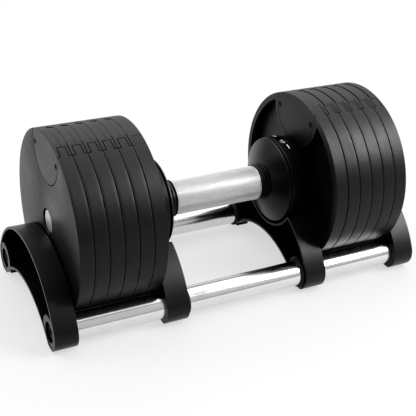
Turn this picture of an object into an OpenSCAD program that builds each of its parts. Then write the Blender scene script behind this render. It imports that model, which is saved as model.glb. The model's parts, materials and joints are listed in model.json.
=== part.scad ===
// Adjustable dumbbell resting in its cradle.
// +X runs along the handle, +Z is up, and the origin is on the floor under the middle of the handle.
// Every module of a side part builds the right-hand one; the left-hand one is its mirror image.

/* [Weight plates] */
// Diameter of every plate
plate_d = 175; // [160:1:190]
// Distance from one plate face to the next plate's same face
plate_pitch = 14; // [13:0.5:16]
// Air gap between neighbouring plates
plate_gap = 0.3; // [0.1:0.1:0.6]
// Distance from the middle of the handle to the inner face of the stack
stack_start = 89; // [88.5:0.5:92]
// Bevel on the rim edges of the plates
rim_bevel = 0.6; // [0.2:0.1:1]
// Radius of the centre hole that the selector rod slides through
plate_hole_r = 12.3; // [12:0.1:13]
// Depth of the recess around the hub in the fixed end cup
cup_recess = 9; // [7:0.5:9.5]
// Width of the cup's rim
cup_rim = 6.5; // [5:0.5:8]

/* [Dovetail inserts] */
// Radius of the round insert flange
insert_r = 34.5; // [32:0.5:36]
// Radius of the narrower insert neck
neck_r = 24.8; // [24:0.2:26]
// Height of the insert's centre above the handle axis
insert_height = 75.3; // [74:0.1:77]
// Thickness of each insert flange
flange_t = 2.8; // [2.4:0.1:3.2]
// Half width of the dovetail tongue at its root
tongue_root = 17.7; // [16:0.1:19]
// Half width of the dovetail tongue at its tip
tongue_tip = 21.8; // [20:0.1:22.5]
// How far the tongue reaches into the next plate
tongue_reach = 5.4; // [4.5:0.1:5.8]
// Gap between the inserts and their pockets
seam = 0.4; // [0.2:0.1:0.5]

/* [Handle] */
// Radius of the knurled grip
grip_r = 17.25; // [16:0.25:18]
// Half length of the knurled grip
grip_half = 46.4; // [44:0.2:47]
// Radius of the grooved collars
collar_r = 18.4; // [18:0.1:19]
// Radius of the rim of the hand guard cones
cone_rim_r = 43.4; // [42:0.1:43.6]
// Radius of the hub
hub_r = 43.75; // [43.7:0.05:44]
// Radius of the selector rods
rod_r = 11.5; // [11:0.1:11.6]
// Turn of the grip from the heaviest to the lightest setting, degrees
grip_turn = 330; // [300:5:330]
// Number of weight steps over the whole turn
weight_steps = 5; // [5:1:5]

/* [Cradle] */
// Height of the handle axis above the floor
axis_h = 90; // [90:0.5:94]
// Radius of the chrome tubes
tube_r = 12.5; // [12:0.5:13]
// Drop of the tube axes below the handle axis
tube_drop = 73; // [71:0.5:74]
// Clearance between the plates and the tubes
tube_gap = 0.3; // [0.2:0.1:1]
// Distance from the middle to the open face of the inner arches
inner_open = 64.5; // [64.5:0.5:66]
// Distance from the middle to the plate side of the inner arches
inner_shut = 87.5; // [87:0.5:88]
// Distance from the middle to the plate side of the outer arches
outer_shut = 174.5; // [174:0.5:176]
// Distance from the middle to the open face of the outer arches
outer_open = 197; // [195:0.5:200]
// Wall thickness of the arches
arch_wall = 2.6; // [2.2:0.1:3]
// Radius of the rounded foot around each tube
foot_r = 17.5; // [17:0.5:18]
// Drop of the top of an arch below the handle axis
arch_drop = 12.5; // [11:0.5:16]
// Drop of the underside of an arch below the handle axis
under_drop = 60.5; // [58:0.5:62]
// Radius of the underside of an arch
under_r = 91.5; // [88:0.5:96]
// Radius of the round saddle notch in the inner arches
notch_r = 46.2; // [46:0.1:48]
// Radius of the rounded horns beside the notch
horn_r = 4; // [3.5:0.5:5]

/* [Hidden] */
$fn = 96;
eps = 0.01;
press = 0.05;

// Stack, counted from the fixed end cup (0) to the outermost plate (5)
plate_count = 5;
plate_r = plate_d / 2;
plate_t = plate_pitch - plate_gap;
stack_end = stack_start + plate_pitch * plate_count + plate_t;
web_start = stack_start + cup_recess;
recess_r = plate_r - cup_rim;
pad_r = insert_r + 5;
insert_screw_y = 29;
insert_screw_z = insert_height - 6;
insert_screw_r = 1.9;
insert_head_r = 2.8;
insert_head_t = 1.6;
tongue_foot = 48;
tongue_foot_r = tongue_tip + 0.6;

// Rods, core tube and cam barrels, one inside the other
core_in = rod_r + press;
core_out = 13.2;
barrel_in = core_out + press;
barrel_out = 15;
rod_travel = plate_pitch * plate_count;
rod_end = stack_end - 1.2;
rod_start = 71;
pin_rest = rod_start + 5;
pin_far = pin_rest - rod_travel;
pin_r = 2.4;
pin_top = 14.6;
pin_foot = 8;
straight_slot_r = pin_r + 0.1;
cam_slot_r = pin_r + 0.35;
cam_mean_r = (barrel_in + barrel_out) / 2;
cam_lead = rod_travel / (grip_turn * PI / 180);
cam_slope = atan(cam_lead / cam_mean_r);
cam_half_angle = cam_slot_r / sin(cam_slope) / cam_mean_r * 180 / PI;
barrel_end = 84.2;
core_end = 97;

// Hub, hand guard cone, dial and lock
collar_end = 52;
cone_start = 53;
cone_bore = barrel_out + 0.3;
cone_front_r = 19.2;
rim_x = 64;
rim_back = 65.6;
hub_start = 66.8;
hub_in = 41.9;
hub_cavity_end = 84.5;
hub_neck_r = 34;
hub_round = hub_r - hub_neck_r;
hub_round_start = 80.5;
dial_start = 70;
dial_end = 80.2;
dial_r = 41.3;
dial_wall = 2.4;
window_x = 75.5;
window_half = 3.8;
window_angle = 9;
mark_angle = 17.7;
mark_half_w = 0.6;
mark_half_l = 3.1;
mark_t = 0.15;
index_start = 81.4;
index_r = 27;
index_bore_r = 18;
index_notch_r = 22.6;
yoke_start = 81.7;
yoke_end = 84.2;
yoke_travel = 4;
yoke_top = 36.5;
yoke_r = 34;
yoke_opening_r = 28.3;
yoke_foot_half = 6;
yoke_foot_z = notch_r - 0.7;
yoke_guide_half = 8;
tooth_half = 3;
tooth_tip = index_r + 0.5;
spring_r = 1.45;
spring_wire_r = 0.35;
spring_turns = 4;
hub_bolt_circle = 23;
hub_bolt_r = 2.4;
hub_bolt_head_r = 4.8;
hub_bolt_head_t = hub_bolt_head_r - hub_bolt_r;
hub_bolt_tip = 91;
hub_bolt_end = stack_start + plate_t - 0.2;
bolt_play = 0.15;
hub_round_end = hub_round_start + hub_round;
hub_clearance_r = 39.4;
bush_r = 14.5;

// Cradle
tube_y = sqrt(pow(plate_r + tube_r + tube_gap, 2) - pow(tube_drop, 2));
tube_bore_r = tube_r - 1.5;
tube_end = 188;
foot_drop = axis_h - 1.5;
pad_t = 2.5;
pad_half_w = 4.2;
pad_half_l = 7;
boss_end = 196.6;
screw_seat = 191;
tube_screw_r = 3.9;
counterbore_r = 10;
top_reach = -arch_drop - foot_r;
top_z = (pow(top_reach, 2) - pow(tube_y, 2) - pow(tube_drop, 2)) / (2 * (tube_drop + top_reach));
top_r = -arch_drop - top_z;
under_z = -under_drop - under_r;

// ---- Shared shapes ----

// Turned part along X: each point is [radius, x]
module turned(points) {
    translate([0, 0, axis_h])
        rotate([0, 90, 0])
            rotate_extrude()
                polygon(points);
}

// Straight ring along X
module ring(outer, inner, from, to) {
    turned([[inner, from], [outer, from], [outer, to], [inner, to]]);
}

// Rod along X with its centre at (y, z above the handle axis)
module bar(radius, from, to, y = 0, z = 0) {
    translate([from, y, axis_h + z])
        rotate([0, 90, 0])
            cylinder(r = radius, h = to - from);
}

// Flat (y, z) outline pulled along X
module along_x(from, to) {
    translate([from, 0, axis_h])
        rotate([90, 0, 90])
            linear_extrude(height = to - from)
                children();
}

module left_side() {
    mirror([1, 0, 0])
        children();
}

// ---- Weight plates ----

function plate_x(number) = stack_start + plate_pitch * number;

module plate_blank(from, hole) {
    inner = from;
    outer = from + plate_t;
    turned([
        [hole, inner], [plate_r - rim_bevel, inner], [plate_r, inner + rim_bevel],
        [plate_r, outer - rim_bevel], [plate_r - rim_bevel, outer], [hole, outer]
    ]);
}

// Stepped pocket for the two halves of an insert, with its two screw holes
module insert_pocket(from) {
    bar(insert_r, from - eps, from + flange_t, 0, insert_height);
    bar(neck_r, from - eps, from + plate_t + eps, 0, insert_height);
    bar(insert_r, from + plate_t - flange_t, from + plate_t + eps, 0, insert_height);
    for (side = [-1, 1])
        bar(insert_screw_r, from, from + plate_t, side * insert_screw_y, insert_screw_z);
}

module plate(number) {
    color([0.13, 0.13, 0.14])
        difference() {
            plate_blank(plate_x(number), plate_hole_r);
            insert_pocket(plate_x(number));
        }
}

module end_cup() {
    color([0.13, 0.13, 0.14])
        difference() {
            plate_blank(stack_start, bush_r);
            difference() {
                bar(recess_r, stack_start - eps, web_start);
                bar(pad_r, stack_start - 1, web_start + 1, 0, insert_height);
            }
            bar(hub_clearance_r, stack_start - eps, hub_round_end + 0.3);
            insert_pocket(stack_start);
            for (turn = [45 : 90 : 315])
                hub_bolt_hole(turn);
        }
}

// Countersunk clearance hole in the end cup
module hub_bolt_hole(turn) {
    hole_r = hub_bolt_r + bolt_play;
    sink_r = hub_bolt_head_r + bolt_play;
    at_hub_bolt(turn)
        turned([
            [0, web_start - 1], [hole_r, web_start - 1], [hole_r, hub_bolt_end - hub_bolt_head_t],
            [sink_r, hub_bolt_end], [sink_r, hub_bolt_end + 1], [0, hub_bolt_end + 1]
        ]);
}

module hub_bolt(turn) {
    socket_r = 1.5;
    socket_floor = hub_bolt_end - 1.4;
    at_hub_bolt(turn)
        turned([
            [0, hub_bolt_tip], [hub_bolt_r, hub_bolt_tip], [hub_bolt_r, hub_bolt_end - hub_bolt_head_t],
            [hub_bolt_head_r, hub_bolt_end], [socket_r, hub_bolt_end], [socket_r, socket_floor],
            [0, socket_floor]
        ]);
}

module at_hub_bolt(turn) {
    translate([0, hub_bolt_circle * cos(turn), hub_bolt_circle * sin(turn)])
        children();
}

module hub_bolts() {
    color([0.25, 0.25, 0.27])
        for (turn = [45 : 90 : 315]) {
            hub_bolt(turn);
            left_side() hub_bolt(turn);
        }
}

// ---- Dovetail inserts ----

// Half of an insert: a flange at the plate's face and a neck that reaches the middle of the plate
module insert_half(face, middle, inner) {
    low = min(face, middle);
    high = max(face, middle);
    flange_low = inner ? face : face - flange_t;
    difference() {
        intersection() {
            union() {
                bar(insert_r - seam, flange_low, flange_low + flange_t, 0, insert_height);
                bar(neck_r - seam, low, high, 0, insert_height);
            }
            insert_rim(face, inner);
        }
        for (side = [-1, 1])
            insert_screw_hole(face, inner, side);
    }
}

// Rim of the plate that the insert follows, with the same bevel
module insert_rim(face, inner) {
    near = inner ? face : face - plate_t;
    plate_blank(near, eps);
}

module insert_screw_hole(face, inner, side) {
    head_from = inner ? face - 1 : face - insert_head_t;
    bar(insert_head_r, head_from, head_from + insert_head_t + 1, side * insert_screw_y, insert_screw_z);
    bar(insert_screw_r, face - flange_t - 1, face + flange_t + 1, side * insert_screw_y, insert_screw_z);
}

// Dovetail seen from above: wider at the tip than at the root. Its foot is round.
module dovetail(from, grow) {
    tip = from + tongue_reach + grow;
    intersection() {
        translate([0, 0, axis_h + tongue_foot])
            linear_extrude(height = plate_r)
                polygon([
                    [from - grow, -tongue_root - grow], [tip, -tongue_tip - grow],
                    [tip, tongue_tip + grow], [from - grow, tongue_root + grow]
                ]);
        along_x(from - grow - 1, tip + 1)
            tongue_outline(grow);
    }
}

// Round foot with straight sides above it, up to beyond the plate's rim
module tongue_outline(grow) {
    radius = tongue_foot_r + grow;
    translate([0, insert_height])
        circle(r = radius);
    translate([-radius, insert_height])
        square([2 * radius, insert_r]);
}

module groove_insert(number) {
    face = plate_x(number);
    difference() {
        insert_half(face, face + plate_t / 2, true);
        dovetail(face - plate_gap, seam);
    }
}

module tongue_insert(number) {
    face = plate_x(number) + plate_t;
    insert_half(face, face - plate_t / 2, false);
    intersection() {
        dovetail(face, 0);
        bar(plate_r - rim_bevel, face - 1, face + plate_pitch);
    }
}

module groove_inserts() {
    color([0.1, 0.1, 0.11])
        for (number = [1 : plate_count])
            groove_insert(number);
}

module tongue_inserts() {
    color([0.1, 0.1, 0.11])
        for (number = [0 : plate_count - 1])
            tongue_insert(number);
}

module cup_cover() {
    color([0.11, 0.11, 0.12])
        insert_half(stack_start, stack_start + plate_t / 2, true);
}

module end_cover() {
    color([0.11, 0.11, 0.12])
        insert_half(stack_end, stack_end - plate_t / 2, false);
}

// Screw with a flat head at the outer face and a barrel nut at the inner face
module insert_screw(number, side) {
    inner = plate_x(number) + 0.2;
    outer = plate_x(number) + plate_t - 0.2;
    head_t = insert_head_t - 0.2;
    translate([0, side * insert_screw_y, insert_screw_z])
        turned([
            [0, inner], [insert_head_r, inner], [insert_head_r, inner + head_t],
            [insert_screw_r, inner + head_t], [insert_screw_r, outer - head_t],
            [insert_head_r, outer - head_t], [insert_head_r, outer],
            [1.2, outer], [1.2, outer - 1], [0, outer - 1]
        ]);
}

module side_insert_screws() {
    for (number = [0 : plate_count])
        for (side = [-1, 1])
            insert_screw(number, side);
}

module insert_screws() {
    color([0.2, 0.2, 0.22]) {
        side_insert_screws();
        left_side() side_insert_screws();
    }
}

// ---- Grip, cam barrels and dials: everything that turns with the hand ----

module grip_sleeve() {
    color([0.72, 0.72, 0.74])
        ring(grip_r, barrel_out, -grip_half, grip_half);
}

module grip_collar() {
    groove_r = collar_r - 1.1;
    color([0.06, 0.06, 0.06])
        turned([
            [barrel_out, grip_half], [grip_r - 0.3, grip_half], [collar_r, grip_half + 0.6],
            [collar_r, grip_half + 1.7], [groove_r, grip_half + 2.1], [groove_r, grip_half + 2.9],
            [collar_r, grip_half + 3.3], [collar_r, collar_end - 0.5], [collar_r - 0.5, collar_end],
            [barrel_out, collar_end]
        ]);
}

// Arc-shaped outline between two radii, as wide as half_angle each way
module sector(inner, outer, half_angle) {
    polygon([
        for (part = [-1 : 0.5 : 1])
            inner * [cos(part * half_angle), sin(part * half_angle)],
        for (part = [1 : -0.5 : -1])
            outer * [cos(part * half_angle), sin(part * half_angle)]
    ]);
}

// Helical slot that turns once by grip_turn while it advances by the rod's travel
module cam_slot() {
    translate([pin_far, 0, axis_h])
        rotate([0, 90, 0])
            linear_extrude(height = rod_travel, twist = -grip_turn, slices = 55, $fn = 10)
                rotate([0, 0, 180 - grip_turn])
                    sector(barrel_in - 0.8, barrel_out + 0.8, cam_half_angle);
    for (back = [0 : 3])
        cam_slot_ends(0.8 * back);
}

// Round ends of the slot, and the same a little way back along it
module cam_slot_ends(back) {
    turn = back / cam_lead * 180 / PI;
    cam_slot_end(pin_rest - back, -turn);
    cam_slot_end(pin_far + back, turn - grip_turn);
}

module cam_slot_end(x, turn) {
    translate([x, 0, axis_h])
        rotate([turn, 0, 0])
            translate([0, 0, barrel_in - 1])
                cylinder(r = cam_slot_r, h = barrel_out - barrel_in + 2);
}

module cam_barrel() {
    color([0.55, 0.56, 0.58])
        difference() {
            ring(barrel_out, barrel_in, 0.05, barrel_end);
            cam_slot();
        }
}

// Number drum and index disc on one sleeve
module dial() {
    drum_in = dial_r - dial_wall;
    color([0.08, 0.08, 0.08])
        difference() {
            turned([
                [barrel_out, dial_start], [dial_r, dial_start], [dial_r, dial_end], [drum_in, dial_end],
                [drum_in, dial_start + dial_wall], [index_bore_r, dial_start + dial_wall],
                [index_bore_r, index_start], [index_r, index_start], [index_r, barrel_end],
                [barrel_out, barrel_end]
            ]);
            for (step = [0 : weight_steps])
                index_notch(step * grip_turn / weight_steps);
        }
}

module index_notch(turn) {
    width = 2 * tooth_half + 0.8;
    translate([0, 0, axis_h])
        rotate([-turn, 0, 0])
            translate([index_start - 0.2, -width / 2, index_notch_r])
                cube([barrel_end - index_start + 1, width, index_r]);
}

// ---- Fixed handle parts ----

module core_slot() {
    translate([0, 0, axis_h]) {
        translate([pin_far, -straight_slot_r, 0])
            cube([rod_travel, 2 * straight_slot_r, core_out + 1]);
        for (x = [pin_far, pin_rest])
            translate([x, 0, 0])
                cylinder(r = straight_slot_r, h = core_out + 1);
    }
}

module core_tube() {
    color([0.6, 0.61, 0.63])
        difference() {
            ring(core_out, core_in, -core_end, core_end);
            core_slot();
            left_side() core_slot();
        }
}

module thrust_washer() {
    color([0.75, 0.6, 0.3])
        ring(collar_r - 0.4, cone_bore, collar_end + 0.3, cone_start);
}

// Points of the flared outside of the cone, from the collar to its rim
function flare(inset) = [
    for (part = [0 : 0.1 : 1])
        [
            cone_front_r + inset + (cone_rim_r - cone_front_r - inset) * part,
            cone_start + 1.4 + inset + (rim_x - cone_start - 1.4 - inset / 3) * pow(part, 1.25)
        ]
];

// Hand guard: flared shell with a rounded rim, a spigot in the hub's mouth and a bearing sleeve
module cone() {
    rim_round = 1.2;
    rim_step = 1.1;
    wall = 2.4;
    hub_seat = rim_back + 0.5;
    spigot_r = hub_in - press;
    spigot_in = spigot_r - wall;
    spigot_end = dial_start - 1.6;
    sleeve_r = cone_bore + wall;
    sleeve_end = dial_start - 3;
    outer = flare(0);
    color([0.07, 0.07, 0.07])
        turned(concat(
            [[cone_bore, cone_start], [cone_front_r, cone_start]],
            [for (index = [0 : len(outer) - 2]) outer[index]],
            [
                for (turn = [60 : -30 : -60])
                    [cone_rim_r - rim_round + rim_round * cos(turn), rim_x + 0.8 - rim_round * sin(turn)]
            ],
            [
                [cone_rim_r - rim_step, hub_seat], [spigot_r, hub_seat], [spigot_r, spigot_end],
                [spigot_in, spigot_end], [spigot_in, rim_x + 1.6],
                [cone_front_r + 5, cone_start + 6.4], [sleeve_r, cone_start + 5],
                [sleeve_r, sleeve_end], [cone_bore, sleeve_end]
            ]
        ));
}

module hub() {
    mouth_bevel = 0.6;
    rod_passage_r = rod_r + 0.6;
    color([0.06, 0.06, 0.06])
        difference() {
            turned(concat(
                [[core_out, hub_cavity_end], [hub_in, hub_cavity_end], [hub_in, hub_start]],
                [
                    [hub_r - mouth_bevel, hub_start],
                    [hub_r, hub_start + mouth_bevel],
                    [hub_r, hub_round_start]
                ],
                [
                    for (turn = [10 : 10 : 90])
                        [hub_neck_r + hub_round * cos(turn), hub_round_start + hub_round * sin(turn)]
                ],
                [[hub_neck_r, web_start], [rod_passage_r, web_start]],
                [[rod_passage_r, core_end], [core_out, core_end]]
            ));
            dial_window();
            yoke_slot();
            for (turn = [45 : 90 : 315])
                at_hub_bolt(turn)
                    bar(hub_bolt_r, hub_bolt_tip - 1, web_start + 1);
        }
}

module dial_window() {
    half_y = hub_r * sin(window_angle);
    translate([window_x - window_half, -half_y, axis_h + hub_in - 4])
        cube([2 * window_half, 2 * half_y, 8]);
}

// Raised printed dash on each side of the dial window
module index_mark(turn) {
    translate([0, 0, axis_h])
        rotate([turn, 0, 0])
            intersection() {
                translate([0, 0, -axis_h])
                    ring(hub_r + mark_t, hub_r, window_x - mark_half_w, window_x + mark_half_w);
                translate([window_x - mark_half_w - 1, -mark_half_l, 0])
                    cube([2 * mark_half_w + 2, 2 * mark_half_l, 2 * hub_r]);
            }
}

module index_marks() {
    color([0.95, 0.95, 0.95])
        for (turn = [-mark_angle, mark_angle]) {
            index_mark(turn);
            left_side() index_mark(turn);
        }
}

module yoke_slot() {
    half_y = yoke_foot_half + 0.4;
    translate([yoke_start - 0.3, -half_y, axis_h - hub_r - 1])
        cube([yoke_end - yoke_start + 0.6, 2 * half_y, 8]);
}

// Frame around the index disc; its tooth drops into a notch when the dumbbell leaves the cradle
module lock_yoke() {
    color([0.5, 0.5, 0.52])
        along_x(yoke_start, yoke_end) {
            difference() {
                union() {
                    circle(r = yoke_r);
                    translate([-yoke_guide_half, 0])
                        square([2 * yoke_guide_half, yoke_top]);
                    translate([-yoke_foot_half, -yoke_foot_z])
                        square([2 * yoke_foot_half, yoke_foot_z]);
                }
                circle(r = yoke_opening_r);
                translate([0, yoke_travel + 0.5])
                    circle(r = yoke_opening_r);
                translate([-yoke_opening_r, 0])
                    square([2 * yoke_opening_r, yoke_travel + 0.5]);
            }
            translate([-tooth_half, tooth_tip])
                square([2 * tooth_half, yoke_top - tooth_tip]);
        }
}

// Square-wire compression spring that pushes the yoke down
module lock_spring() {
    length = hub_in - yoke_top - press;
    color([0.7, 0.7, 0.72])
        translate([(yoke_start + yoke_end) / 2, 0, axis_h + yoke_top])
            linear_extrude(height = length, twist = -360 * spring_turns, slices = 64, $fn = 8)
                sector(spring_r - 2 * spring_wire_r, spring_r, 60);
}

// ---- Selector rods ----

module rod() {
    bevel = 0.8;
    color([0.78, 0.78, 0.8])
        difference() {
            turned([
                [0, rod_start], [rod_r - bevel, rod_start], [rod_r, rod_start + bevel],
                [rod_r, rod_end - bevel], [rod_r - bevel, rod_end], [0, rod_end]
            ]);
            translate([pin_rest, 0, axis_h + pin_foot])
                cylinder(r = pin_r, h = rod_r);
        }
}

module follower_pin() {
    color([0.5, 0.5, 0.55])
        translate([pin_rest, 0, axis_h + pin_foot])
            cylinder(r = pin_r, h = pin_top - pin_foot);
}

module rod_bush() {
    color([0.75, 0.6, 0.3])
        ring(bush_r, rod_r + press, web_start, stack_start + plate_t);
}

// ---- Cradle ----

module tube(side) {
    color([0.85, 0.85, 0.87])
        translate([0, side * tube_y, -tube_drop])
            ring(tube_r, tube_bore_r, -tube_end, tube_end);
}

module front_tube() {
    tube(-1);
}

module back_tube() {
    tube(1);
}

module at_tube_ends() {
    for (side = [-1, 1])
        translate([0, side * tube_y, -tube_drop]) {
            children();
            left_side() children();
        }
}

module tube_plugs() {
    color([0.45, 0.45, 0.47])
        at_tube_ends()
            ring(tube_bore_r, tube_screw_r, tube_end - 16, tube_end);
}

module tube_screws() {
    tip = tube_end - 12;
    head_r = 7;
    head_end = screw_seat + 4;
    socket_r = 3;
    socket_floor = screw_seat + 1.5;
    color([0.15, 0.15, 0.16])
        at_tube_ends()
            turned([
                [0, tip], [tube_screw_r, tip], [tube_screw_r, screw_seat], [head_r, screw_seat],
                [head_r, head_end - 0.6], [head_r - 0.6, head_end], [socket_r, head_end],
                [socket_r, socket_floor], [0, socket_floor]
            ]);
}

module tube_collars() {
    outer_r = tube_r + 2.2;
    from = inner_open - 3;
    color([0.05, 0.05, 0.05])
        at_tube_ends()
            turned([
                [tube_r, from], [outer_r - 0.8, from], [outer_r, from + 0.8],
                [outer_r, inner_open], [tube_r, inner_open]
            ]);
}

// Height and half width where two circles centred on the middle line cross
function cross_z(z1, r1, z2, r2) = (r1 * r1 - r2 * r2 - z1 * z1 + z2 * z2) / (2 * (z2 - z1));
function cross_y(z1, r1, z2, r2) = sqrt(r1 * r1 - pow(cross_z(z1, r1, z2, r2) - z1, 2));
function cross(z1, r1, z2, r2) = [cross_y(z1, r1, z2, r2), cross_z(z1, r1, z2, r2)];

// Arch between a round top and a round underside, standing on two round feet
module arch_outline(inset) {
    foot_ray = [tube_y, -tube_drop - top_z];
    difference() {
        union() {
            intersection() {
                translate([0, top_z])
                    circle(r = top_r - inset);
                polygon([
                    [0, top_z], [0, top_z] + 3 * foot_ray, [0, 50],
                    [-3 * foot_ray[0], top_z + 3 * foot_ray[1]]
                ]);
            }
            for (side = [-1, 1])
                translate([side * tube_y, -tube_drop])
                    circle(r = foot_r - inset);
        }
        translate([0, under_z])
            circle(r = under_r + inset);
        translate([-2 * tube_y, -foot_drop + inset - 20])
            square([4 * tube_y, 20]);
    }
}

// Arch with the saddle notch for the hub cut into its top and a rounded horn on each side
module saddle_outline(inset) {
    horn = cross(0, notch_r + horn_r, top_z, top_r - horn_r);
    on_notch = horn * (notch_r + inset) / (notch_r + horn_r);
    on_top = [0, top_z] + (horn - [0, top_z]) * (top_r - inset) / (top_r - horn_r);
    corner = cross(0, notch_r + inset, top_z, top_r - inset);
    beyond = horn + 1.5 * (corner - horn);
    difference() {
        arch_outline(inset);
        circle(r = notch_r + inset);
        for (side = [-1, 1])
            on_side(side)
                polygon([horn, on_notch, beyond, on_top]);
    }
    for (side = [-1, 1])
        translate([side * horn[0], horn[1]])
            circle(r = horn_r - inset);
}

// The outline's right half as drawn, or mirrored to its left half
module on_side(side) {
    if (side > 0)
        children();
    else
        mirror([1, 0])
            children();
}

module pad_outline(grow) {
    translate([-pad_half_l - grow, -pad_half_w - grow])
        square([2 * (pad_half_l + grow), 2 * (pad_half_w + grow)]);
}

module at_pads(middle) {
    for (side = [-1, 1])
        translate([middle, side * tube_y, 0])
            children();
}

module outer_arch() {
    color([0.06, 0.06, 0.06])
        difference() {
            union() {
                difference() {
                    along_x(outer_shut, outer_open)
                        arch_outline(0);
                    along_x(outer_shut + arch_wall, outer_open + 1)
                        arch_outline(arch_wall);
                }
                for (side = [-1, 1])
                    foot_boss(outer_shut, boss_end, side);
            }
            for (side = [-1, 1]) {
                bar(tube_r, outer_shut - 1, tube_end, side * tube_y, -tube_drop);
                bar(tube_screw_r + 0.3, tube_end - 1, screw_seat + 1, side * tube_y, -tube_drop);
                bar(counterbore_r, screw_seat, outer_open + 1, side * tube_y, -tube_drop);
            }
            at_pads((outer_shut + outer_open) / 2)
                translate([0, 0, axis_h - foot_drop])
                    linear_extrude(height = pad_t - axis_h + foot_drop)
                        pad_outline(0);
        }
}

// Solid foot inside the channel that carries the tube
module foot_boss(from, to, side) {
    along_x(from, to)
        difference() {
            translate([side * tube_y, -tube_drop])
                circle(r = foot_r - 1);
            translate([side * tube_y - foot_r, -foot_drop - 20])
                square([2 * foot_r, 20]);
            translate([0, under_z])
                circle(r = under_r);
        }
}

module inner_arch() {
    color([0.06, 0.06, 0.06])
        difference() {
            union() {
                difference() {
                    along_x(inner_open, inner_shut)
                        saddle_outline(0);
                    along_x(inner_open - 1, inner_shut - arch_wall)
                        saddle_outline(arch_wall);
                }
                for (side = [-1, 1])
                    foot_boss(inner_open, inner_shut, side);
            }
            for (side = [-1, 1])
                bar(tube_r, inner_open - 1, inner_shut + 1, side * tube_y, -tube_drop);
            at_pads((inner_open + inner_shut) / 2)
                translate([0, 0, axis_h - foot_drop])
                    linear_extrude(height = pad_t - axis_h + foot_drop)
                        pad_outline(0);
        }
}

module rubber_feet() {
    color([0.03, 0.03, 0.03])
        for (middle = [(inner_open + inner_shut) / 2, (outer_shut + outer_open) / 2])
            for (side = [-1, 1])
                at_pads(side * middle)
                    linear_extrude(height = pad_t)
                        pad_outline(0);
}

// ---- Left and right nodes ----

module right_outer_arch() outer_arch();
module left_outer_arch() left_side() outer_arch();
module right_inner_arch() inner_arch();
module left_inner_arch() left_side() inner_arch();
module right_grip_collar() grip_collar();
module left_grip_collar() left_side() grip_collar();
module right_cam_barrel() cam_barrel();
module left_cam_barrel() left_side() cam_barrel();
module right_dial() dial();
module left_dial() left_side() dial();
module right_thrust_washer() thrust_washer();
module left_thrust_washer() left_side() thrust_washer();
module right_cone() cone();
module left_cone() left_side() cone();
module right_hub() hub();
module left_hub() left_side() hub();
module right_lock_yoke() lock_yoke();
module left_lock_yoke() left_side() lock_yoke();
module right_lock_spring() lock_spring();
module left_lock_spring() left_side() lock_spring();
module right_rod() rod();
module left_rod() left_side() rod();
module right_follower_pin() follower_pin();
module left_follower_pin() left_side() follower_pin();
module right_rod_bush() rod_bush();
module left_rod_bush() left_side() rod_bush();
module right_end_cup() end_cup();
module left_end_cup() left_side() end_cup();
module right_cup_cover() cup_cover();
module left_cup_cover() left_side() cup_cover();
module right_end_cover() end_cover();
module left_end_cover() left_side() end_cover();
module right_groove_inserts() groove_inserts();
module left_groove_inserts() left_side() groove_inserts();
module right_tongue_inserts() tongue_inserts();
module left_tongue_inserts() left_side() tongue_inserts();

front_tube();
back_tube();
tube_plugs();
tube_screws();
tube_collars();
rubber_feet();
left_outer_arch();
left_inner_arch();
right_inner_arch();
right_outer_arch();
core_tube();
grip_sleeve();
left_grip_collar();
right_grip_collar();
left_cam_barrel();
right_cam_barrel();
left_dial();
right_dial();
left_thrust_washer();
right_thrust_washer();
left_cone();
right_cone();
left_hub();
right_hub();
left_lock_yoke();
right_lock_yoke();
left_lock_spring();
right_lock_spring();
left_rod();
right_rod();
left_follower_pin();
right_follower_pin();
left_rod_bush();
right_rod_bush();
left_end_cup();
right_end_cup();
hub_bolts();
left_side() plate(1);  // left_plate_1
left_side() plate(2);  // left_plate_2
left_side() plate(3);  // left_plate_3
left_side() plate(4);  // left_plate_4
left_side() plate(5);  // left_plate_5
plate(1);  // right_plate_1
plate(2);  // right_plate_2
plate(3);  // right_plate_3
plate(4);  // right_plate_4
plate(5);  // right_plate_5
left_cup_cover();
right_cup_cover();
left_end_cover();
right_end_cover();
left_groove_inserts();
right_groove_inserts();
left_tongue_inserts();
right_tongue_inserts();
insert_screws();
index_marks();
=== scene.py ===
import json
import math

import bmesh
import bpy
from mathutils import Matrix, Vector

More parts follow.
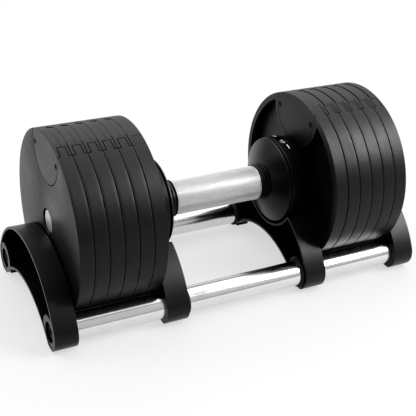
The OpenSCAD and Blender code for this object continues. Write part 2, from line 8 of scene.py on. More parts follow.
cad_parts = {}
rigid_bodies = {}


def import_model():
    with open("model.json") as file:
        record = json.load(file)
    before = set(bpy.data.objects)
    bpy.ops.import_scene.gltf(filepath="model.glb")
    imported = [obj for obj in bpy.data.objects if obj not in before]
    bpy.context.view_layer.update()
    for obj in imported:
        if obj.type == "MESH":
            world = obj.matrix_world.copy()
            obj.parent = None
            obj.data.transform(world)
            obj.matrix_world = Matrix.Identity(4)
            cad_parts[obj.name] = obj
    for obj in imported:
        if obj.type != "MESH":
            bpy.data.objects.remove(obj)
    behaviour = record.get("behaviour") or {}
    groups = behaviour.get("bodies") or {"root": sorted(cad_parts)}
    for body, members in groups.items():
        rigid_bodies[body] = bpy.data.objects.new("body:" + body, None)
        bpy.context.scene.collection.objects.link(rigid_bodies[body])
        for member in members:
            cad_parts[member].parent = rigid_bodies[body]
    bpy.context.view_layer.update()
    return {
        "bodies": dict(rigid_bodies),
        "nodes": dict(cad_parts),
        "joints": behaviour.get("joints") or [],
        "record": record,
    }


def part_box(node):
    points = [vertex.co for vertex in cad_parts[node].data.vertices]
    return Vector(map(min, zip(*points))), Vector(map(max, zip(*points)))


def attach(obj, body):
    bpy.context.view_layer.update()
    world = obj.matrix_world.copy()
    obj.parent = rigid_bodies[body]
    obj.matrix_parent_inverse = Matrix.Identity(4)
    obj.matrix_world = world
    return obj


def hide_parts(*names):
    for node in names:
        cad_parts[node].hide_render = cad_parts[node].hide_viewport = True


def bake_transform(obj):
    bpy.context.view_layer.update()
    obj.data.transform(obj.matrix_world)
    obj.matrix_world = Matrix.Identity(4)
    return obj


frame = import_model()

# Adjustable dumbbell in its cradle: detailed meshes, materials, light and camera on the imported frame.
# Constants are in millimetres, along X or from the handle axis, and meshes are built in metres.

MM = 0.001
SIDES = (("right", 1), ("left", -1))
turn_joint = next(j for j in frame["joints"] if j["name"] == "grip_turn")
AXIS = Vector(turn_joint["pos_m"])
GRIP_TURN = math.radians(turn_joint["range_deg"][1])

# Sizes repeated from the CAD source, in millimetres
PLATE_R, PLATE_T, PLATE_PITCH, STACK_START, PLATE_COUNT = 87.5, 13.7, 14.0, 89.0, 5
RIM_ROUND, PLATE_HOLE_R = 0.6, 12.3
INSERT_Z, INSERT_R, NECK_R, FLANGE_T = 75.3, 34.5, 24.8, 2.8
GRIP_R, GRIP_HALF, BARREL_R = 17.25, 46.4, 15.0
COLLAR_R, COLLAR_END = 18.4, 52.0
TUBE_R, TUBE_BORE, TUBE_END = 12.5, 11.0, 188.0
DIAL_R, DIAL_WINDOW_X = 41.3, 75.5
CONE_START, CONE_BORE_R, CONE_FRONT_R, CONE_RIM_R, CONE_RIM_X = 53.0, 15.3, 19.2, 43.4, 64.0
# Gaps between an insert and its pocket: behind the flange, round the flange and round the neck
POCKET_GAP, FLANGE_GAP, NECK_GAP = 0.6, 0.3, 0.4
HOLE_ROUND = 0.5
# Knurl: diamonds round the grip, depth, length of one, share of it that is flat on top, and the plain band
KNURL_STARTS, KNURL_DEPTH, KNURL_PITCH, KNURL_TIP, PLAIN_BAND = 72, 0.34, 1.75, 0.34, 0.7
NUMBER_HEIGHT, NUMBER_PROUD, NUMBER_SUNK = 6.0, 0.12, 0.3
SPRING_WIRE_R, SPRING_TURNS = 0.17, 4
# Edge rounding of the pieces that keep the CAD shape
SIDE_EDGES = {
    "outer_arch": 1.0, "inner_arch": 1.0, "end_cup": 0.5,
    "groove_inserts": 0.35, "tongue_inserts": 0.35, "cup_cover": 0.35, "end_cover": 0.35,
    "hub": 0.35, "dial": 0.15, "rod": 0.6, "rod_bush": 0.2,
    "cam_barrel": 0.12, "follower_pin": 0.2, "lock_yoke": 0.2, "thrust_washer": 0.12,
}
SHARED_EDGES = {
    "tube_plugs": 0.25, "tube_screws": 0.3, "tube_collars": 0.5, "rubber_feet": 0.5,
    "insert_screws": 0.12, "hub_bolts": 0.15, "index_marks": 0.05, "core_tube": 0.15,
}
# The model's own masses in kilograms at each setting, rounded
DIAL_NUMBERS = ("27", "23", "18", "13", "8", "4")

# Camera: turn from the Y axis, tilt down and roll in degrees, place in metres, lens in millimetres
CAMERA_YAW, CAMERA_PITCH, CAMERA_ROLL = 28.56, 28.36, 3.27
CAMERA_PLACE = (-0.3974, -0.7213, 0.5138)
CAMERA_LENS = 79.83
# Name, place, target, width and height in metres, power in watts
SOFTBOXES = (
    ("overhead", (0.0, 1.15, 2.2), (0, 1.15, 0), 4.6, 4.0, 60),
    ("key_right", (1.35, -0.9, 1.4), (0.12, 0, 0.09), 0.95, 0.9, 42),
    ("fill_left", (-1.5, 0.8, 1.25), (0.05, 0, 0.09), 0.9, 1.2, 11),
)
# Surroundings: brightness at the front and at the back, and where one turns into the other
WORLD_FRONT, WORLD_BACK, WORLD_BLEND = 0.62, 0.92, 0.7
# Two darker bands for the chrome to reflect, each by its middle and half its width
HORIZON_BAND, LOW_BAND, BAND_DROP = (0.055, 0.045), (-0.46, 0.1), 0.5
# Tone curve: the darkest greys come out darker, which gives the black parts their depth
TONE = ((0.012, 0.003), (0.03, 0.014), (0.06, 0.045), (0.11, 0.108), (0.3, 0.3))
FLOOR_HALF, FLOOR_GREY, FLOOR_GLOW = 6.0, 0.2, 0.6


# ---- Camera, light and floor ----

def add_camera():
    """Camera a little above and to the left, tipped slightly, with a long lens."""
    yaw, pitch, roll = (math.radians(angle) for angle in (CAMERA_YAW, CAMERA_PITCH, CAMERA_ROLL))
    forward = Vector((
        math.sin(yaw) * math.cos(pitch),
        math.cos(yaw) * math.cos(pitch),
        -math.sin(pitch),
    ))
    level = forward.cross(Vector((0, 0, 1))).normalized()
    upright = level.cross(forward)
    right = level * math.cos(roll) + upright * math.sin(roll)
    up = upright * math.cos(roll) - level * math.sin(roll)
    data = bpy.data.cameras.new("studio_camera")
    data.lens, data.sensor_width = CAMERA_LENS, 36.0
    data.clip_start, data.clip_end = 0.05, 50.0
    camera = bpy.data.objects.new("studio_camera", data)
    bpy.context.scene.collection.objects.link(camera)
    camera.matrix_world = Matrix((
        (right.x, up.x, -forward.x, CAMERA_PLACE[0]),
        (right.y, up.y, -forward.y, CAMERA_PLACE[1]),
        (right.z, up.z, -forward.z, CAMERA_PLACE[2]),
        (0, 0, 0, 1),
    ))
    bpy.context.scene.camera = camera


def add_softbox(name, place, target, width, height, power):
    """Rectangular light that faces its target."""
    data = bpy.data.lights.new(name, "AREA")
    data.shape, data.size, data.size_y, data.energy = "RECTANGLE", width, height, power
    light = bpy.data.objects.new(name, data)
    bpy.context.scene.collection.objects.link(light)
    light.location = place
    aim = Vector(target) - Vector(place)
    light.rotation_mode = "QUATERNION"
    light.rotation_quaternion = aim.to_track_quat("-Z", "Y")


def add_studio():
    """Softboxes, surroundings that grow brighter to the back, and the tone curve."""
    for softbox in SOFTBOXES:
        add_softbox(*softbox)
    world = bpy.data.worlds.new("studio")
    bpy.context.scene.world = world
    world.use_nodes = True
    tree = world.node_tree
    background = tree.nodes["Background"]
    place = tree.nodes.new("ShaderNodeTexCoord")
    split = tree.nodes.new("ShaderNodeSeparateXYZ")
    tree.links.new(place.outputs["Generated"], split.inputs[0])
    back = tree.nodes.new("ShaderNodeMapRange")
    back.interpolation_type = "SMOOTHSTEP"
    back.inputs["From Min"].default_value = -WORLD_BLEND
    back.inputs["From Max"].default_value = WORLD_BLEND
    back.inputs["To Min"].default_value = WORLD_FRONT
    back.inputs["To Max"].default_value = WORLD_BACK
    tree.links.new(split.outputs["Y"], back.inputs["Value"])
    # The low band runs along the handle: front-to-back part of a direction over its height
    slope = tree.nodes.new("ShaderNodeMath")
    slope.operation = "DIVIDE"
    tree.links.new(split.outputs["Y"], slope.inputs[0])
    tree.links.new(split.outputs["Z"], slope.inputs[1])
    strength = back.outputs[0]
    for seen, band in ((split.outputs["Z"], HORIZON_BAND), (slope.outputs[0], LOW_BAND)):
        strip = tree.nodes.new("ShaderNodeMath")
        strip.operation = "COMPARE"
        strip.inputs[1].default_value, strip.inputs[2].default_value = band
        tree.links.new(seen, strip.inputs[0])
        darker = tree.nodes.new("ShaderNodeMath")
        darker.operation = "MULTIPLY_ADD"
        darker.inputs[1].default_value = -BAND_DROP
        tree.links.new(strip.outputs[0], darker.inputs[0])
        tree.links.new(strength, darker.inputs[2])
        strength = darker.outputs[0]
    tree.links.new(strength, background.inputs["Strength"])
    background.inputs["Color"].default_value = (1, 1, 1, 1)
    view = bpy.context.scene.view_settings
    view.view_transform = "Standard"
    view.use_curve_mapping = True
    tone = view.curve_mapping.curves[3]
    for scene_grey, shown_grey in TONE:
        tone.points.new(scene_grey, shown_grey)
    view.curve_mapping.update()


def add_floor():
    """Pale paper floor, faintly lit from within so that the shadows on it stay soft."""
    mesh = bpy.data.meshes.new("floor")
    half = FLOOR_HALF
    corners = [(-half, -half, 0), (half, -half, 0), (half, half, 0), (-half, half, 0)]
    mesh.from_pydata(corners, [], [(0, 1, 2, 3)])
    floor = bpy.data.objects.new("floor", mesh)
    bpy.context.scene.collection.objects.link(floor)
    paint = Shade("floor_paper", grey(FLOOR_GREY), 0.7)
    paint.surface.inputs["Emission Color"].default_value = (1, 1, 1, 1)
    paint.surface.inputs["Emission Strength"].default_value = FLOOR_GLOW
    fine = paint.noise(paint.place(), 900, detail=3)
    paint.roughness(fine, 0.62, 0.78)
    floor.data.materials.append(paint.material)


# ---- Materials ----

class Shade:
    """One material and the few kinds of node that these materials need."""

    def __init__(self, name, colour, roughness, metallic=0.0, specular=0.5):
        self.material = bpy.data.materials.new(name)
        self.material.use_nodes = True
        self.tree = self.material.node_tree
        self.surface = self.tree.nodes["Principled BSDF"]
        self.surface.inputs["Base Color"].default_value = (*colour, 1)
        self.surface.inputs["Roughness"].default_value = roughness
        self.surface.inputs["Metallic"].default_value = metallic
        self.surface.inputs["Specular IOR Level"].default_value = specular
        self.material.diffuse_color = (*colour, 1)

    def new(self, kind):
        return self.tree.nodes.new("ShaderNode" + kind)

    def feed(self, value, socket):
        """Links a socket to an input, or sets the input to a plain value."""
        if isinstance(value, bpy.types.NodeSocket):
            self.tree.links.new(value, socket)
        else:
            socket.default_value = value

    def place(self):
        """Object coordinates, which are the frame's metres."""
        return self.new("TexCoord").outputs["Object"]

    def split(self, vector):
        node = self.new("SeparateXYZ")
        self.feed(vector, node.inputs[0])
        return node.outputs

    def join(self, x, y, z):
        node = self.new("CombineXYZ")
        for value, socket in zip((x, y, z), node.inputs):
            self.feed(value, socket)
        return node.outputs[0]

    def math(self, operation, a, b=0.0):
        node = self.new("Math")
        node.operation = operation
        self.feed(a, node.inputs[0])
        self.feed(b, node.inputs[1])
        return node.outputs[0]

    def range(self, value, low, high, to_low, to_high, smooth=False):
        """Value mapped from one range to another and kept inside it."""
        node = self.new("MapRange")
        if smooth:
            node.interpolation_type = "SMOOTHSTEP"
        for given, socket in zip((value, low, high, to_low, to_high), node.inputs):
            self.feed(given, socket)
        return node.outputs[0]

    def noise(self, vector, scale, detail=2.0, rough=0.5):
        node = self.new("TexNoise")
        self.feed(vector, node.inputs["Vector"])
        node.inputs["Scale"].default_value = scale
        node.inputs["Detail"].default_value = detail
        node.inputs["Roughness"].default_value = rough
        return node.outputs["Fac"]

    def stretched(self, along_x, along_y, along_z):
        """Object coordinates with a scale of their own along each axis."""
        x, y, z = self.split(self.place())
        return self.join(
            self.math("MULTIPLY", x, along_x),
            self.math("MULTIPLY", y, along_y),
            self.math("MULTIPLY", z, along_z),
        )

    def mixed(self, first, second, share):
        """Weighted sum of two values, share of the first and the rest of the second."""
        return self.math(
            "ADD", self.math("MULTIPLY", first, share), self.math("MULTIPLY", second, 1 - share)
        )

    def turned(self, along, around, across):
        """Coordinates (along, around, across) for turning marks about a line along X, and the radius."""
        x, y, z = self.split(self.place())
        y = self.math("SUBTRACT", y, AXIS.y)
        z = self.math("SUBTRACT", z, AXIS.z)
        angle = self.math("ARCTAN2", y, z)
        squares = self.math("ADD", self.math("MULTIPLY", y, y), self.math("MULTIPLY", z, z))
        radius = self.math("SQRT", squares)
        vector = self.join(
            self.math("MULTIPLY", x, along),
            self.math("MULTIPLY", angle, around),
            self.math("MULTIPLY", radius, across),
        )
        return vector, radius

    def colour(self, factor, dark, light):
        """Base colour between two colours."""
        node = self.new("Mix")
        node.data_type = "RGBA"
        self.feed(factor, node.inputs[0])
        node.inputs[6].default_value = (*dark, 1)
        node.inputs[7].default_value = (*light, 1)
        self.feed(node.outputs[2], self.surface.inputs["Base Color"])

    def recolour(self, factor, light):
        """Mixes one more colour over what the surface already has."""
        below = self.surface.inputs["Base Color"].links[0].from_socket
        node = self.new("Mix")
        node.data_type = "RGBA"
        self.feed(factor, node.inputs[0])
        self.feed(below, node.inputs[6])
        node.inputs[7].default_value = (*light, 1)
        self.feed(node.outputs[2], self.surface.inputs["Base Color"])

    def roughness(self, factor, low, high):
        """Roughness between two values by a noise that mostly stays near its middle."""
        self.feed(self.range(factor, 0.25, 0.75, low, high), self.surface.inputs["Roughness"])

    def bump(self, height, strength, distance):
        """Adds one more layer of bump on top of those already there."""
        node = self.new("Bump")
        node.inputs["Strength"].default_value = strength
        node.inputs["Distance"].default_value = distance
        self.feed(height, node.inputs["Height"])
        normal = self.surface.inputs["Normal"]
        if normal.links:
            self.feed(normal.links[0].from_socket, node.inputs["Normal"])
        self.feed(node.outputs[0], normal)


def plate_coating():
    """Satin black coat over turned steel: fine marks round the rim, orange peel, and paler rim edges,
    partly wear of the coat and partly a painted highlight.
    """
    shade = Shade("plate_coating", (0.006, 0.006, 0.0065), 0.45, specular=0.3)
    marks, radius = shade.turned(950, 5, 900)
    streak = shade.noise(marks, 1, detail=5, rough=0.7)
    patch = shade.noise(shade.place(), 38, detail=3)
    peel = shade.noise(shade.place(), 2300, detail=2)
    shade.colour(patch, (0.0045, 0.0045, 0.0048), (0.0075, 0.0075, 0.008))
    # Paler patches along the plates' rim edges: partly wear of the coat, partly a painted highlight on the
    # rounded edges.
    x = shade.split(shade.place())[0]
    from_start = shade.math("SUBTRACT", shade.math("ABSOLUTE", x), STACK_START * MM)
    step = shade.math("MODULO", from_start, PLATE_PITCH * MM)
    off_middle = shade.math("ABSOLUTE", shade.math("SUBTRACT", step, PLATE_T / 2 * MM))
    near_edge = shade.range(off_middle, (PLATE_T / 2 - 1.0) * MM, (PLATE_T / 2 - 0.15) * MM, 0, 1, True)
    on_rim = shade.range(radius, (PLATE_R - 1.4) * MM, (PLATE_R - 0.5) * MM, 0, 1, True)
    wear_and_highlight_patches = shade.range(shade.noise(shade.place(), 420, detail=5, rough=0.7), 0.5, 0.72, 0, 0.5)
    edge = shade.math("MULTIPLY", shade.math("MULTIPLY", near_edge, on_rim), wear_and_highlight_patches)
    shade.recolour(edge, (0.05, 0.05, 0.052))
    shade.roughness(shade.mixed(streak, patch, 0.7), 0.3, 0.58)
    shade.bump(streak, 0.22, 0.0002)
    shade.bump(peel, 0.09, 0.00012)
    return shade.material


def moulded(name, dark, light, rough, grain, grain_strength, specular=0.3):
    """Moulded plastic: spark-eroded grain, faint mottling and small scuffs."""
    shade = Shade(name, light, sum(rough) / 2, specular=specular)
    patch = shade.noise(shade.place(), 30, detail=4)
    fine = shade.noise(shade.place(), grain, detail=3, rough=0.6)
    shade.colour(patch, dark, light)
    rubbed = shade.noise(shade.stretched(210, 60, 90), 1, detail=6, rough=0.75)
    scuff = shade.range(rubbed, 0.62, 0.74, 0, 0.35)
    shade.recolour(scuff, tuple(min(1, 2.6 * c) for c in light))
    shade.roughness(shade.mixed(fine, patch, 0.5), *rough)
    shade.bump(fine, grain_strength, 0.00015)
    return shade.material


def steel(name, dark, light, rough, lines=(1800, 3, 1800), strength=0.12):
    """Turned or ground steel with marks round the handle axis."""
    shade = Shade(name, light, sum(rough) / 2, metallic=1.0)
    marks, _ = shade.turned(*lines)
    line = shade.noise(marks, 1, detail=5, rough=0.7)
    smear = shade.noise(shade.place(), 45, detail=3)
    shade.colour(shade.math("MULTIPLY", shade.math("ADD", line, smear), 0.5), dark, light)
    shade.roughness(shade.mixed(line, smear, 0.6), *rough)
    shade.bump(line, strength, 0.00008)
    return shade.material


def chrome():
    """Bright chrome plate over a drawn tube: faint lengthwise lines and smudges."""
    shade = Shade("chrome_tube", (0.74, 0.74, 0.75), 0.07, metallic=1.0)
    line = shade.noise(shade.stretched(14, 900, 900), 1, detail=3, rough=0.6)
    smudge = shade.noise(shade.place(), 60, detail=4, rough=0.6)
    shade.colour(smudge, (0.66, 0.66, 0.67), (0.8, 0.8, 0.81))
    shade.roughness(shade.mixed(line, smudge, 0.5), 0.13, 0.23)
    shade.bump(line, 0.025, 0.00005)
    return shade.material


def knurled():
    """Bright knurled steel: painted shade in the grooves and lighter tips, by the height of the modelled
    knurl.
    """
    shade = Shade("knurled_grip", (0.72, 0.72, 0.73), 0.3, metallic=1.0)
    marks, radius = shade.turned(1500, 4, 1500)
    # Painted shade: the colour darkens from the knurl's tips down into its grooves.
    depth = shade.range(radius, (GRIP_R - 0.36) * MM, (GRIP_R - 0.06) * MM, 0, 1)
    shade.colour(depth, (0.34, 0.34, 0.345), (0.86, 0.86, 0.865))
    speck = shade.range(shade.noise(shade.place(), 620, detail=2, rough=0.6), 0.45, 0.7, 0, 0.45)
    shade.recolour(speck, (0.42, 0.42, 0.42))
    grime = shade.range(shade.noise(shade.place(), 140, detail=4, rough=0.65), 0.45, 0.75, 0, 0.22)
    shade.recolour(grime, (0.5, 0.49, 0.475))
    grain = shade.noise(marks, 1, detail=3)
    shade.roughness(grain, 0.26, 0.42)
    shade.bump(grain, 0.08, 0.00005)
    return shade.material


def rubber():
    """Matt black rubber with a fine grain."""
    shade = Shade("rubber", (0.015, 0.015, 0.015), 0.7, specular=0.35)
    fine = shade.noise(shade.place(), 1600, detail=3)
    patch = shade.noise(shade.place(), 70, detail=3)
    shade.colour(patch, (0.010, 0.010, 0.010), (0.022, 0.022, 0.022))
    shade.roughness(fine, 0.6, 0.85)
    shade.bump(fine, 0.2, 0.0001)
    return shade.material


def white_print():
    """White print with a slightly uneven surface."""
    shade = Shade("white_print", (0.8, 0.8, 0.79), 0.5)
    fine = shade.noise(shade.place(), 2600, detail=3)
    shade.colour(shade.range(fine, 0.3, 0.7, 0, 1), (0.66, 0.66, 0.65), (0.86, 0.86, 0.85))
    shade.roughness(fine, 0.42, 0.6)
    shade.bump(fine, 0.1, 0.00003)
    return shade.material


def grey(value):
    return (value, value, value)


def make_materials():
    """One material for each slot of the record, by the slot's name."""
    return {
        "plate_coating": plate_coating(),
        "insert_plastic": moulded("insert_plastic", grey(0.004), grey(0.007), (0.36, 0.5), 2600, 0.10),
        "arch_plastic": moulded("arch_plastic", grey(0.0035), grey(0.006), (0.33, 0.46), 1900, 0.12),
        "hub_plastic": moulded("hub_plastic", grey(0.003), grey(0.005), (0.32, 0.42), 2400, 0.08),
        "cone_plastic": moulded("cone_plastic", grey(0.003), grey(0.005), (0.28, 0.38), 2400, 0.07),
        "chrome_tube": chrome(),
        "knurled_grip": knurled(),
        "rod_steel": steel("rod_steel", grey(0.5), grey(0.72), (0.3, 0.46)),
        "machined_steel": steel("machined_steel", grey(0.4), grey(0.6), (0.28, 0.42)),
        # Screws near black and dull: painted shade for the counterbores that they sit in.
        "dark_steel": moulded(
            "dark_steel", grey(0.004), grey(0.009), (0.5, 0.65), 2600, 0.08, specular=0.12
        ),
        "bearing_bronze": steel("bearing_bronze", (0.42, 0.27, 0.12), (0.6, 0.42, 0.2), (0.3, 0.45)),
        "rubber": rubber(),
        "white_print": white_print(),
    }


# ---- Mesh tools ----

def finish_mesh(bm, name, sharp=35):
    """Object from a bmesh, smooth except across edges sharper than the given angle."""
    bmesh.ops.recalc_face_normals(bm, faces=bm.faces)
    limit = math.radians(sharp)
    for face in bm.faces:
        face.smooth = True
    for edge in bm.edges:
        edge.smooth = len(edge.link_faces) == 2 and edge.calc_face_angle(0) < limit
    mesh = bpy.data.meshes.new(name)
    bm.to_mesh(mesh)
    bm.free()
    piece = bpy.data.objects.new(name, mesh)
    bpy.context.scene.collection.objects.link(piece)
    return piece


def dress(piece, body, slot, *nodes):
    """Gives a piece the material of its slot and its body, and hides the CAD nodes that it stands for."""
    piece.data.materials.clear()
    piece.data.materials.append(MATERIALS[slot])
    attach(piece, body)
    if nodes:
        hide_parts(*nodes)
    return piece


def rounded(corners, steps=4):
    """Closed outline from (x, radius, rounding) corners, each corner cut by an arc."""
    points = []
    count = len(corners)
    for index, (x, r, rounding) in enumerate(corners):
        here = Vector((x, r))
        before = Vector(corners[index - 1][:2]) - here
        after = Vector(corners[(index + 1) % count][:2]) - here
        if rounding <= 0:
            points.append(here)
            continue
        half = before.angle(after) / 2
        reach = rounding / math.tan(half)
        reach = min(reach, before.length * 0.49, after.length * 0.49)
        true = reach * math.tan(half)
        start, end = here + before.normalized() * reach, here + after.normalized() * reach
        halfway = (before.normalized() + after.normalized()).normalized()
        middle = here + halfway * (true / math.sin(half))
        for part in range(steps + 1):
            arm = (start - middle).lerp(end - middle, part / steps)
            points.append(middle + arm.normalized() * true)
    return points


def lathe(bm, outline, side=1, centre=AXIS, segments=192):
    """Turns a closed (x, radius) outline in millimetres about a line along X."""
    angles = [2 * math.pi * k / segments for k in range(segments)]
    rings = []
    for along, out in outline:
        x, r = centre.x + side * along * MM, out * MM
        rings.append([
            bm.verts.new((x, centre.y + r * math.sin(angle), centre.z + r * math.cos(angle)))
            for angle in angles
        ])
    for first, second in zip(rings, rings[1:] + rings[:1]):
        join_rings(bm, first, second)


def join_rings(bm, first, second):
    """Band of faces between two rings of as many vertices."""
    count = len(first)
    for k in range(count):
        after = (k + 1) % count
        bm.faces.new((first[k], first[after], second[after], second[k]))


def ring_at(bm, outline, x, side):
    """Ring of vertices from a (y, z) outline in millimetres about the handle axis."""
    return [bm.verts.new((side * x * MM, AXIS.y + y * MM, AXIS.z + z * MM)) for y, z in outline]


def fill(bm, *rings):
    """Flat face inside the first ring, with the others as holes."""
    edges = []
    for ring in rings:
        for a, b in zip(ring, ring[1:] + ring[:1]):
            edges.append(bm.edges.get((a, b)) or bm.edges.new((a, b)))
    bmesh.ops.triangle_fill(bm, edges=edges, use_beauty=True)


def circle(radius, count=96):
    """Points of a circle about the handle axis, from the top."""
    angles = (2 * math.pi * k / count for k in range(count))
    return [(radius * math.sin(angle), radius * math.cos(angle)) for angle in angles]


def arc(radius, z, start, end, count):
    """Points of an arc about (0, z), angles from the top, both ends included."""
    angles = (start + (end - start) * k / count for k in range(count + 1))
    return [(radius * math.sin(angle), z + radius * math.cos(angle)) for angle in angles]


def crossing(outer, inner):
    """Angles from the top, on each circle, where the plate's circle meets the insert's."""
    on_outer = math.acos((outer**2 + INSERT_Z**2 - inner**2) / (2 * outer * INSERT_Z))
    on_inner = math.atan2(outer * math.sin(on_outer), outer * math.cos(on_outer) - INSERT_Z)
    return on_outer, on_inner


def plate_outline(outer, inner):
    """Plate's circle with the insert's circle bitten out of its top."""
    on_outer, on_inner = crossing(outer, inner)
    around = arc(outer, 0, on_outer, 2 * math.pi - on_outer, 216)
    bite = arc(inner, INSERT_Z, 2 * math.pi - on_inner, on_inner, 60)
    return around + bite[1:-1]


def quarter(size, steps=4):
    """(along, inward) steps of a rounded edge, from the flat face to the side."""
    angles = (math.pi / 2 * k / steps for k in range(steps + 1))
    return [(size - size * math.cos(angle), size - size * math.sin(angle)) for angle in angles]


def choose_edges(bm, width, limit):
    """Marks for the bevel the sharp edges whose neighbours leave room for it."""
    weight = bm.edges.layers.float.new("bevel_weight_edge")
    for edge in bm.edges:
        if len(edge.link_faces) != 2 or edge.calc_face_angle(0) < limit:
            continue
        along = (edge.verts[1].co - edge.verts[0].co).normalized()
        room = []
        for other in {e for face in edge.link_faces for e in face.edges}:
            across = other.verts[1].co - other.verts[0].co
            touches = other is not edge and set(other.verts) & set(edge.verts)
            if touches and abs(along.dot(across.normalized())) < 0.7:
                room.append(across.length)
        edge[weight] = 1.0 if not room or min(room) > 2 * width else 0.0


def bevelled(node, width, only_roomy=False, segments=2, sharp=30, limit=32):
    """Copy of a CAD node with welded vertices, rounded edges and smooth shading.

    With only_roomy, edges beside a step too narrow for the rounding stay sharp.
    """
    name = f"{node}_finished"
    parent = frame["nodes"][node].parent
    body = next(title for title, empty in frame["bodies"].items() if empty == parent)
    bm = bmesh.new()
    bm.from_mesh(frame["nodes"][node].data)
    bmesh.ops.remove_doubles(bm, verts=bm.verts, dist=1e-6)
    bmesh.ops.dissolve_limit(bm, angle_limit=math.radians(0.4), verts=bm.verts, edges=bm.edges)
    if only_roomy:
        choose_edges(bm, width * MM, math.radians(limit))
    piece = finish_mesh(bm, name, sharp)
    bevel = piece.modifiers.new("edges", "BEVEL")
    bevel.width, bevel.segments = width * MM, segments
    bevel.limit_method, bevel.angle_limit = "WEIGHT" if only_roomy else "ANGLE", math.radians(limit)
    bevel.use_clamp_overlap = True
    bevel.miter_outer = "MITER_ARC"
    bevel.harden_normals = True
    graph = bpy.context.evaluated_depsgraph_get()
    mesh = bpy.data.meshes.new_from_object(piece.evaluated_get(graph), depsgraph=graph)
    piece.modifiers.clear()
    old, piece.data = piece.data, mesh
    bpy.data.meshes.remove(old)
    mesh.name = name
    return dress(piece, body, slots[node], node)


# ---- Plates ----

def add_plate(side_name, side, number):
    """Plate with rounded rim, stepped pocket for the insert halves and a rounded centre hole."""
    start = STACK_START + PLATE_PITCH * number
    pocket = FLANGE_T + POCKET_GAP
    flange_r, neck_r = INSERT_R + FLANGE_GAP, NECK_R + NECK_GAP
    bm = bmesh.new()

    def rim(along, inward):
        return ring_at(bm, plate_outline(PLATE_R - inward, flange_r + inward / 2), start + along, side)

    rings = [rim(along, inward) for along, inward in quarter(RIM_ROUND)]
    for along, inner in (
        (pocket, flange_r), (pocket, neck_r), (PLATE_T - pocket, neck_r), (PLATE_T - pocket, flange_r),
    ):
        rings.append(ring_at(bm, plate_outline(PLATE_R, inner), start + along, side))
    rings += [rim(PLATE_T - along, inward) for along, inward in reversed(quarter(RIM_ROUND))]
    edge = quarter(HOLE_ROUND, 3)
    edge += [(PLATE_T - along, inward) for along, inward in reversed(edge)]
    holes = [ring_at(bm, circle(PLATE_HOLE_R + inward), start + along, side) for along, inward in edge]
    for stack in (rings, holes):
        for first, second in zip(stack, stack[1:]):
            join_rings(bm, first, second)
    fill(bm, rings[0], holes[0])
    fill(bm, rings[-1], holes[-1])
    node = f"{side_name}_plate_{number}"
    dress(finish_mesh(bm, f"{node}_body"), "dumbbell", "plate_coating", node)


# ---- Grip ----

def around_axis(x, radius, angle):
    """Point in metres at an angle from the top, from millimetres along and out from the handle axis."""
    return (x * MM, AXIS.y + radius * MM * math.sin(angle), AXIS.z + radius * MM * math.cos(angle))


def add_grip_sleeve():
    """Sleeve with real diamond knurling between two plain bands."""
    around = 2 * KNURL_STARTS
    length = 2 * (GRIP_HALF - PLAIN_BAND)
    rows = 2 * round(length / KNURL_PITCH)
    bm = bmesh.new()

    def point(i, j, radius):
        return around_axis(PLAIN_BAND - GRIP_HALF + length * j / rows, radius, math.pi * i / KNURL_STARTS)

    grid = {}
    for j in range(rows + 1):
        for i in range(j % 2, around, 2):
            grid[i, j] = bm.verts.new(point(i, j, GRIP_R - KNURL_DEPTH))
    for j in range(rows - 1):
        for i in range(j % 2, around, 2):
            corners = [(i, j), (i + 1, j + 1), (i, j + 2), (i - 1, j + 1)]
            below = [grid[a % around, b] for a, b in corners]
            top = [
                bm.verts.new(point(i + (a - i) * KNURL_TIP, j + 1 + (b - j - 1) * KNURL_TIP, GRIP_R))
                for a, b in corners
            ]
            bm.faces.new(top)
            for k in range(4):
                bm.faces.new((below[k], below[(k + 1) % 4], top[(k + 1) % 4], top[k]))
    for j, inner in ((0, 1), (rows, rows - 1)):
        for i in range(j % 2, around, 2):
            bm.faces.new((grid[i, j], grid[(i + 2) % around, j], grid[(i + 1) % around, inner]))
    band_r = GRIP_R - 0.12
    band = (
        (GRIP_HALF - PLAIN_BAND + 0.2, band_r), (GRIP_HALF - 0.25, band_r),
        (GRIP_HALF - 0.05, band_r - 0.04), (GRIP_HALF, band_r - 0.08), (GRIP_HALF, BARREL_R),
    )
    ends = []
    for j, sign in ((0, -1), (rows, 1)):
        ring = [grid[i, j] for i in range(j % 2, around, 2)]
        angles = [math.pi * i / KNURL_STARTS for i in range(j % 2, around, 2)]
        for x, radius in band:
            after = [bm.verts.new(around_axis(sign * x, radius, angle)) for angle in angles]
            join_rings(bm, ring, after)
            ring = after
        ends.append(ring)
    join_rings(bm, *ends)
    dress(finish_mesh(bm, "grip_knurled_sleeve", 20), "grip", "knurled_grip", "grip_sleeve")


def add_turned(name, body, slot, node, corners, side=1, centre=AXIS, segments=192):
    """Turned piece from (x, radius, rounding) corners."""
    bm = bmesh.new()
    lathe(bm, rounded(corners), side, centre, segments)
    dress(finish_mesh(bm, name, 40), body, slot, node)


def add_grip_collar(side_name, side):
    """Black collar at the grip's end, with one groove round it."""
    start, groove = GRIP_HALF, COLLAR_R - 1.1
    corners = [
        (start, BARREL_R, 0), (start, GRIP_R - 0.1, 0.05),
        (start + 0.6, COLLAR_R, 0.4), (start + 1.7, COLLAR_R, 0.35),
        (start + 2.1, groove, 0.25), (start + 2.9, groove, 0.25),
        (start + 3.3, COLLAR_R, 0.35), (COLLAR_END - 0.3, COLLAR_R, 0.5),
        (COLLAR_END, COLLAR_R - 0.6, 0.2), (COLLAR_END, BARREL_R, 0),
    ]
    node = f"{side_name}_grip_collar"
    add_turned(f"{side_name}_collar_ring", "grip", "hub_plastic", node, corners, side)


# ---- Cones, dials and springs ----

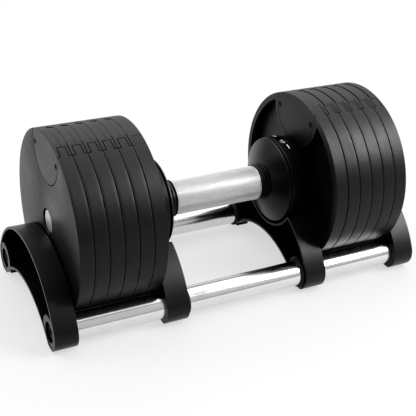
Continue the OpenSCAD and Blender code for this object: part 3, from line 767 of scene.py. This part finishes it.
def add_cone(side_name, side):
    """Flared hand guard with a rolled rim, hollow behind and open for the grip's barrel."""
    neck, roll_r, flare_steps = 1.4, 1.2, 24
    rise, reach = CONE_RIM_R - CONE_FRONT_R, CONE_RIM_X - CONE_START - neck
    outline = [
        Vector(p) for p in (
            (CONE_START, CONE_BORE_R), (CONE_START, CONE_FRONT_R - 0.5),
            (CONE_START + 0.15, CONE_FRONT_R - 0.15), (CONE_START + 0.5, CONE_FRONT_R),
        )
    ]
    for k in range(flare_steps):
        part = k / flare_steps
        outline.append(Vector((CONE_START + neck + reach * part**1.25, CONE_FRONT_R + rise * part)))
    for k in range(13):
        turn = math.radians(60 - 10 * k)
        outline.append(Vector((
            CONE_RIM_X + 0.8 - roll_r * math.sin(turn),
            CONE_RIM_R - roll_r + roll_r * math.cos(turn),
        )))
    outline += [
        Vector(p) for p in (
            (66.1, 42.3), (66.1, 41.85), (68.4, 41.85), (68.4, 39.45), (65.6, 39.45),
            (59.4, 24.2), (58.0, 17.7), (67.0, 17.7), (67.0, CONE_BORE_R),
        )
    ]
    bm = bmesh.new()
    lathe(bm, outline, side)
    node = f"{side_name}_cone"
    dress(finish_mesh(bm, f"{side_name}_hand_guard", 40), "dumbbell", "cone_plastic", node)


def add_numbers(side_name, side):
    """Weight numbers round the dial, the heaviest one at the top at rest."""
    step = GRIP_TURN / (len(DIAL_NUMBERS) - 1)
    labels = []
    for index, label in enumerate(DIAL_NUMBERS):
        curve = bpy.data.curves.new(f"{side_name}_number_{index}", "FONT")
        curve.body, curve.size, curve.align_x, curve.align_y = label, 1.0, "CENTER", "CENTER"
        curve.extrude, curve.resolution_u, curve.offset = 0.01, 6, 0.012
        text = bpy.data.objects.new(curve.name, curve)
        bpy.context.scene.collection.objects.link(text)
        labels.append((text, index * step))
    bpy.context.view_layer.update()
    graph = bpy.context.evaluated_depsgraph_get()
    bm = bmesh.new()
    for text, turn in labels:
        mesh = bpy.data.meshes.new_from_object(text.evaluated_get(graph), depsgraph=graph)
        part = bmesh.new()
        part.from_mesh(mesh)
        long_edges = [e for e in part.edges if e.calc_length() > 0.12]
        bmesh.ops.subdivide_edges(part, edges=long_edges, cuts=2)
        low = Vector((min(v.co.x for v in part.verts), min(v.co.y for v in part.verts), 0))
        high = Vector((max(v.co.x for v in part.verts), max(v.co.y for v in part.verts), 0))
        middle = (low + high) / 2
        size = NUMBER_HEIGHT / (high.y - low.y)
        for v in part.verts:
            along, up = (v.co.x - middle.x) * size, (v.co.y - middle.y) * size
            radius = DIAL_R + (NUMBER_PROUD if v.co.z > 0 else -NUMBER_SUNK)
            v.co = around_axis(side * (DIAL_WINDOW_X + up), radius, turn - side * along / DIAL_R)
        part.to_mesh(mesh)
        part.free()
        bm.from_mesh(mesh)
        bpy.data.meshes.remove(mesh)
        bpy.data.objects.remove(text)
    dress(finish_mesh(bm, f"{side_name}_dial_numbers", 40), "grip", "white_print")


def add_lock_spring(side_name):
    """Round-wire spring coil between the hub and the lock yoke."""
    node = f"{side_name}_lock_spring"
    low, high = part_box(node)
    middle, steps, around = (low + high) / 2, 24, 8
    wire = SPRING_WIRE_R * MM
    coil = (high.x - low.x) / 2 - wire
    rise = high.z - low.z - 2 * wire
    bm = bmesh.new()
    before = None
    for k in range(SPRING_TURNS * steps + 1):
        angle = 2 * math.pi * k / steps
        out, up = Vector((math.cos(angle), math.sin(angle), 0)), Vector((0, 0, 1))
        height = low.z + wire + rise * k / (SPRING_TURNS * steps)
        centre = Vector((middle.x, middle.y, height)) + out * coil
        ring = [
            bm.verts.new(centre + (out * math.cos(a) + up * math.sin(a)) * wire)
            for a in (2 * math.pi * n / around for n in range(around))
        ]
        if before:
            join_rings(bm, before, ring)
        else:
            bm.faces.new(ring)
        before = ring
    bm.faces.new(before)
    spring = finish_mesh(bm, f"{node}_coil", 60)
    spring.data.materials.append(MATERIALS["machined_steel"])
    top, bottom = (middle.x, middle.y, high.z), (middle.x, middle.y, low.z)
    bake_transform(spring)
    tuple(top)
    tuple(bottom)
    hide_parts(node)


# ---- Cradle tubes ----

def add_tube(name):
    """Chrome tube with rounded ends on the middle line of its CAD node."""
    low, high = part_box(f"{name}_tube")
    middle = (low + high) / 2
    corners = (
        (-TUBE_END, TUBE_BORE, 0.3), (-TUBE_END, TUBE_R, 0.4),
        (TUBE_END, TUBE_R, 0.4), (TUBE_END, TUBE_BORE, 0.3),
    )
    add_turned(
        f"{name}_chrome_tube", "cradle", "chrome_tube", f"{name}_tube", corners,
        centre=Vector((0, middle.y, middle.z)), segments=128,
    )


# ---- Build ----

add_camera()
add_studio()
MATERIALS = make_materials()
add_floor()

slots = {entry["node"]: entry["material_slot"] for entry in frame["record"]["subparts"]}
for node, piece in frame["nodes"].items():
    piece.data.materials.clear()
    piece.data.materials.append(MATERIALS[slots[node]])

for side_name, side in SIDES:
    for number in range(1, PLATE_COUNT + 1):
        add_plate(side_name, side, number)
    add_grip_collar(side_name, side)
    add_cone(side_name, side)
    add_numbers(side_name, side)
    for part, width in SIDE_EDGES.items():
        bevelled(f"{side_name}_{part}", width, only_roomy="arch" in part)
for node, width in SHARED_EDGES.items():
    bevelled(node, width)
for side_name, _ in SIDES:
    add_lock_spring(side_name)
add_grip_sleeve()
for name in ("front", "back"):
    add_tube(name)
